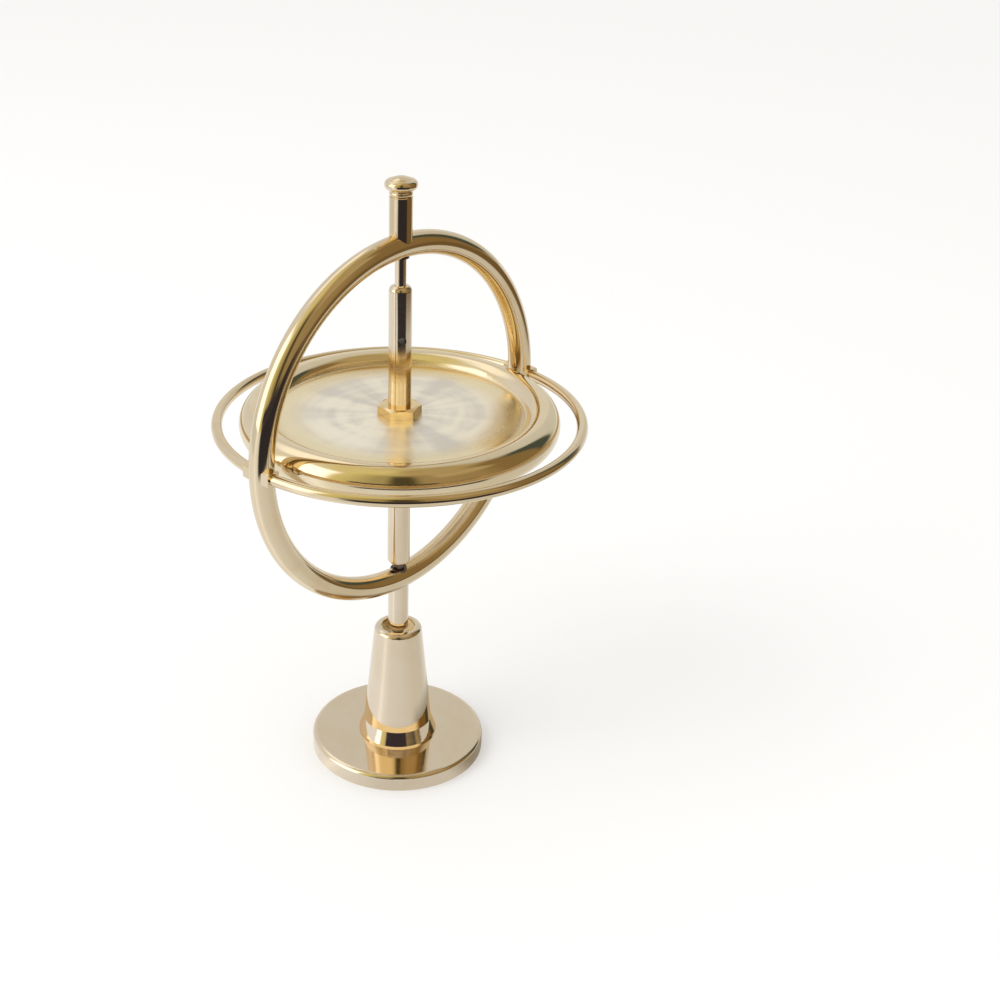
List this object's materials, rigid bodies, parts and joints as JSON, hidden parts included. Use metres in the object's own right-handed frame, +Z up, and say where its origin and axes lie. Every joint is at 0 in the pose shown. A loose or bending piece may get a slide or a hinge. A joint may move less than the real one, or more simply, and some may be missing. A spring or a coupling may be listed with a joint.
{
  "type": "gyroscope on stand",
  "caption": "Polished pale gold gyroscope: flywheel on an axle inside crossed rings, balanced by its ball tip on a tapered pedestal with a round base.",
  "frame": {"origin": "centre of the base disc's flat underside, on the table", "axes": "+Z up along the gyroscope's axle, +X along the plane of the upright ring, +Y across it towards the back"},
  "size_m": [0.065, 0.0632, 0.1068],
  "materials": {
    "polished_gold": "mirror polished, pale champagne gold plating",
    "pale_gold": "mirror polished, very pale gold plating",
    "steel": "ground bearing steel",
    "bronze": "plain bronze, turned"
  },
  "bodies": {
    "stand": {"base_disc": "pale_gold", "pedestal_cone": "pale_gold", "base_screw": "steel"},
    "seat": {"seat_cup": "polished_gold"},
    "tip": {"pivot_ball": "steel"},
    "frame": {"lower_post": "pale_gold", "meridian_ring": "polished_gold", "equator_half_front": "polished_gold", "equator_half_back": "polished_gold", "top_housing": "polished_gold", "top_knob": "polished_gold", "top_bush": "bronze", "lower_bush": "bronze", "top_ball": "steel", "lower_ball": "steel"},
    "rotor": {"flywheel": "pale_gold", "axle": "polished_gold", "upper_nut": "polished_gold", "lower_nut": "polished_gold"}
  },
  "joints": [
    {"name": "gyro_turn", "type": "hinge", "parent": "stand", "child": "seat", "pos_m": [0, 0, 0.0226], "axis": [0, 0, 1], "continuous": true},
    {"name": "gyro_lift", "type": "slide", "parent": "seat", "child": "tip", "axis": [0, 0, 1], "range_m": [0, 0.03]},
    {"name": "gyro_tilt", "type": "hinge", "parent": "tip", "child": "frame", "pos_m": [0, 0, 0.02374], "axis": [0, 1, 0], "range_deg": [-35, 35]},
    {"name": "rotor_spin", "type": "hinge", "parent": "frame", "child": "rotor", "pos_m": [0, 0, 0.06479], "axis": [0, 0, 1], "continuous": true}
  ]
}
